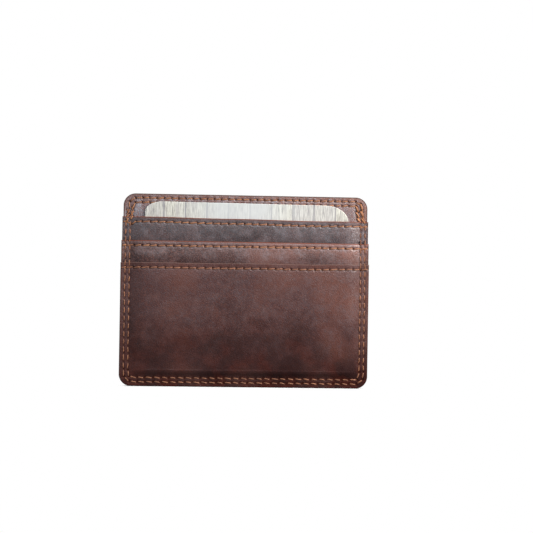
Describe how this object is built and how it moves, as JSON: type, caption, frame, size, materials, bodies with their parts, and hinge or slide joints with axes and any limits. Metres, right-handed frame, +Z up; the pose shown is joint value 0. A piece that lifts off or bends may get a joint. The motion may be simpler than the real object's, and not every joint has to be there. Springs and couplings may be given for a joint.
{
  "type": "card wallet",
  "caption": "Slim leather card wallet with stepped front card pockets, contrast double stitching, an open-top note pocket and a loose display card.",
  "frame": {"origin": "under the middle of the wallet's bottom edge, halfway through its thickness", "axes": "+X across the wallet, +Z up to the pocket mouths, -Y out of the front face with the card pockets"},
  "size_m": [0.1036, 0.0072, 0.08],
  "materials": {
    "body_leather": "satin",
    "dark_leather": "satin",
    "pocket_leather": "satin",
    "lining": "matte",
    "thread": "matte",
    "card_stock": "satin"
  },
  "bodies": {
    "wallet": {"back_panel": "body_leather", "back_lining": "lining", "front_lining": "lining", "body_panel": "body_leather", "pocket_1_panel": "dark_leather", "pocket_2_panel": "pocket_leather", "pocket_3_panel": "pocket_leather", "border_outer_thread_front": "thread", "border_outer_thread_back": "thread", "top_outer_thread_front": "thread", "top_outer_thread_back": "thread", "border_inner_thread_front": "thread", "border_inner_thread_back": "thread", "top_inner_thread_front": "thread", "top_inner_thread_back": "thread", "mouth_1_thread": "thread", "mouth_2_thread": "thread", "mouth_3_thread": "thread", "slot_1_floor_thread": "thread", "slot_2_floor_thread": "thread"},
    "card": {"insert_card": "card_stock"}
  },
  "joints": [
    {"name": "insert_slide", "type": "slide", "parent": "wallet", "child": "card", "axis": [0, 0, 1], "range_m": [0, 0.045]}
  ]
}
